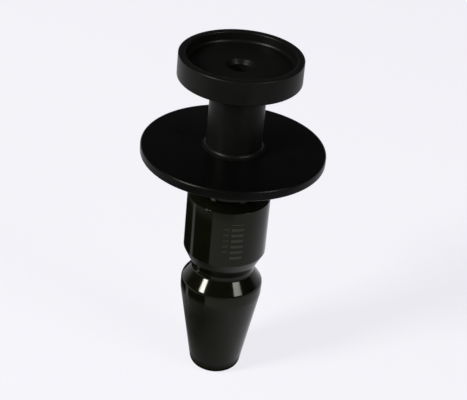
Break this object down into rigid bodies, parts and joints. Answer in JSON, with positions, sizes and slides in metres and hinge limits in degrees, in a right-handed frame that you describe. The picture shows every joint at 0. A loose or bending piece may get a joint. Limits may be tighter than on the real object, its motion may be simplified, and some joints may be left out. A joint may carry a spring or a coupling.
{
  "type": "smt pick-up nozzle",
  "caption": "Slim turned vacuum nozzle for picking up electronic components: tapered, grooved shank, wide flat disc, and a shallow suction cup on a stem.",
  "frame": {"origin": "centre of the shank's end face, the small end of the locating cone", "axes": "+Z along the nozzle's axis, from the shank's end to the cup's rim; the part is round, so X and Y are free"},
  "size_m": [0.0113, 0.0112, 0.022],
  "materials": {
    "shank": "gloss black coated steel",
    "disc": "satin black anodised",
    "tip": "satin black anodised"
  },
  "bodies": {
    "root": {"shank": "shank", "reflector_disc": "disc", "suction_tip": "tip"}
  },
  "joints": []
}
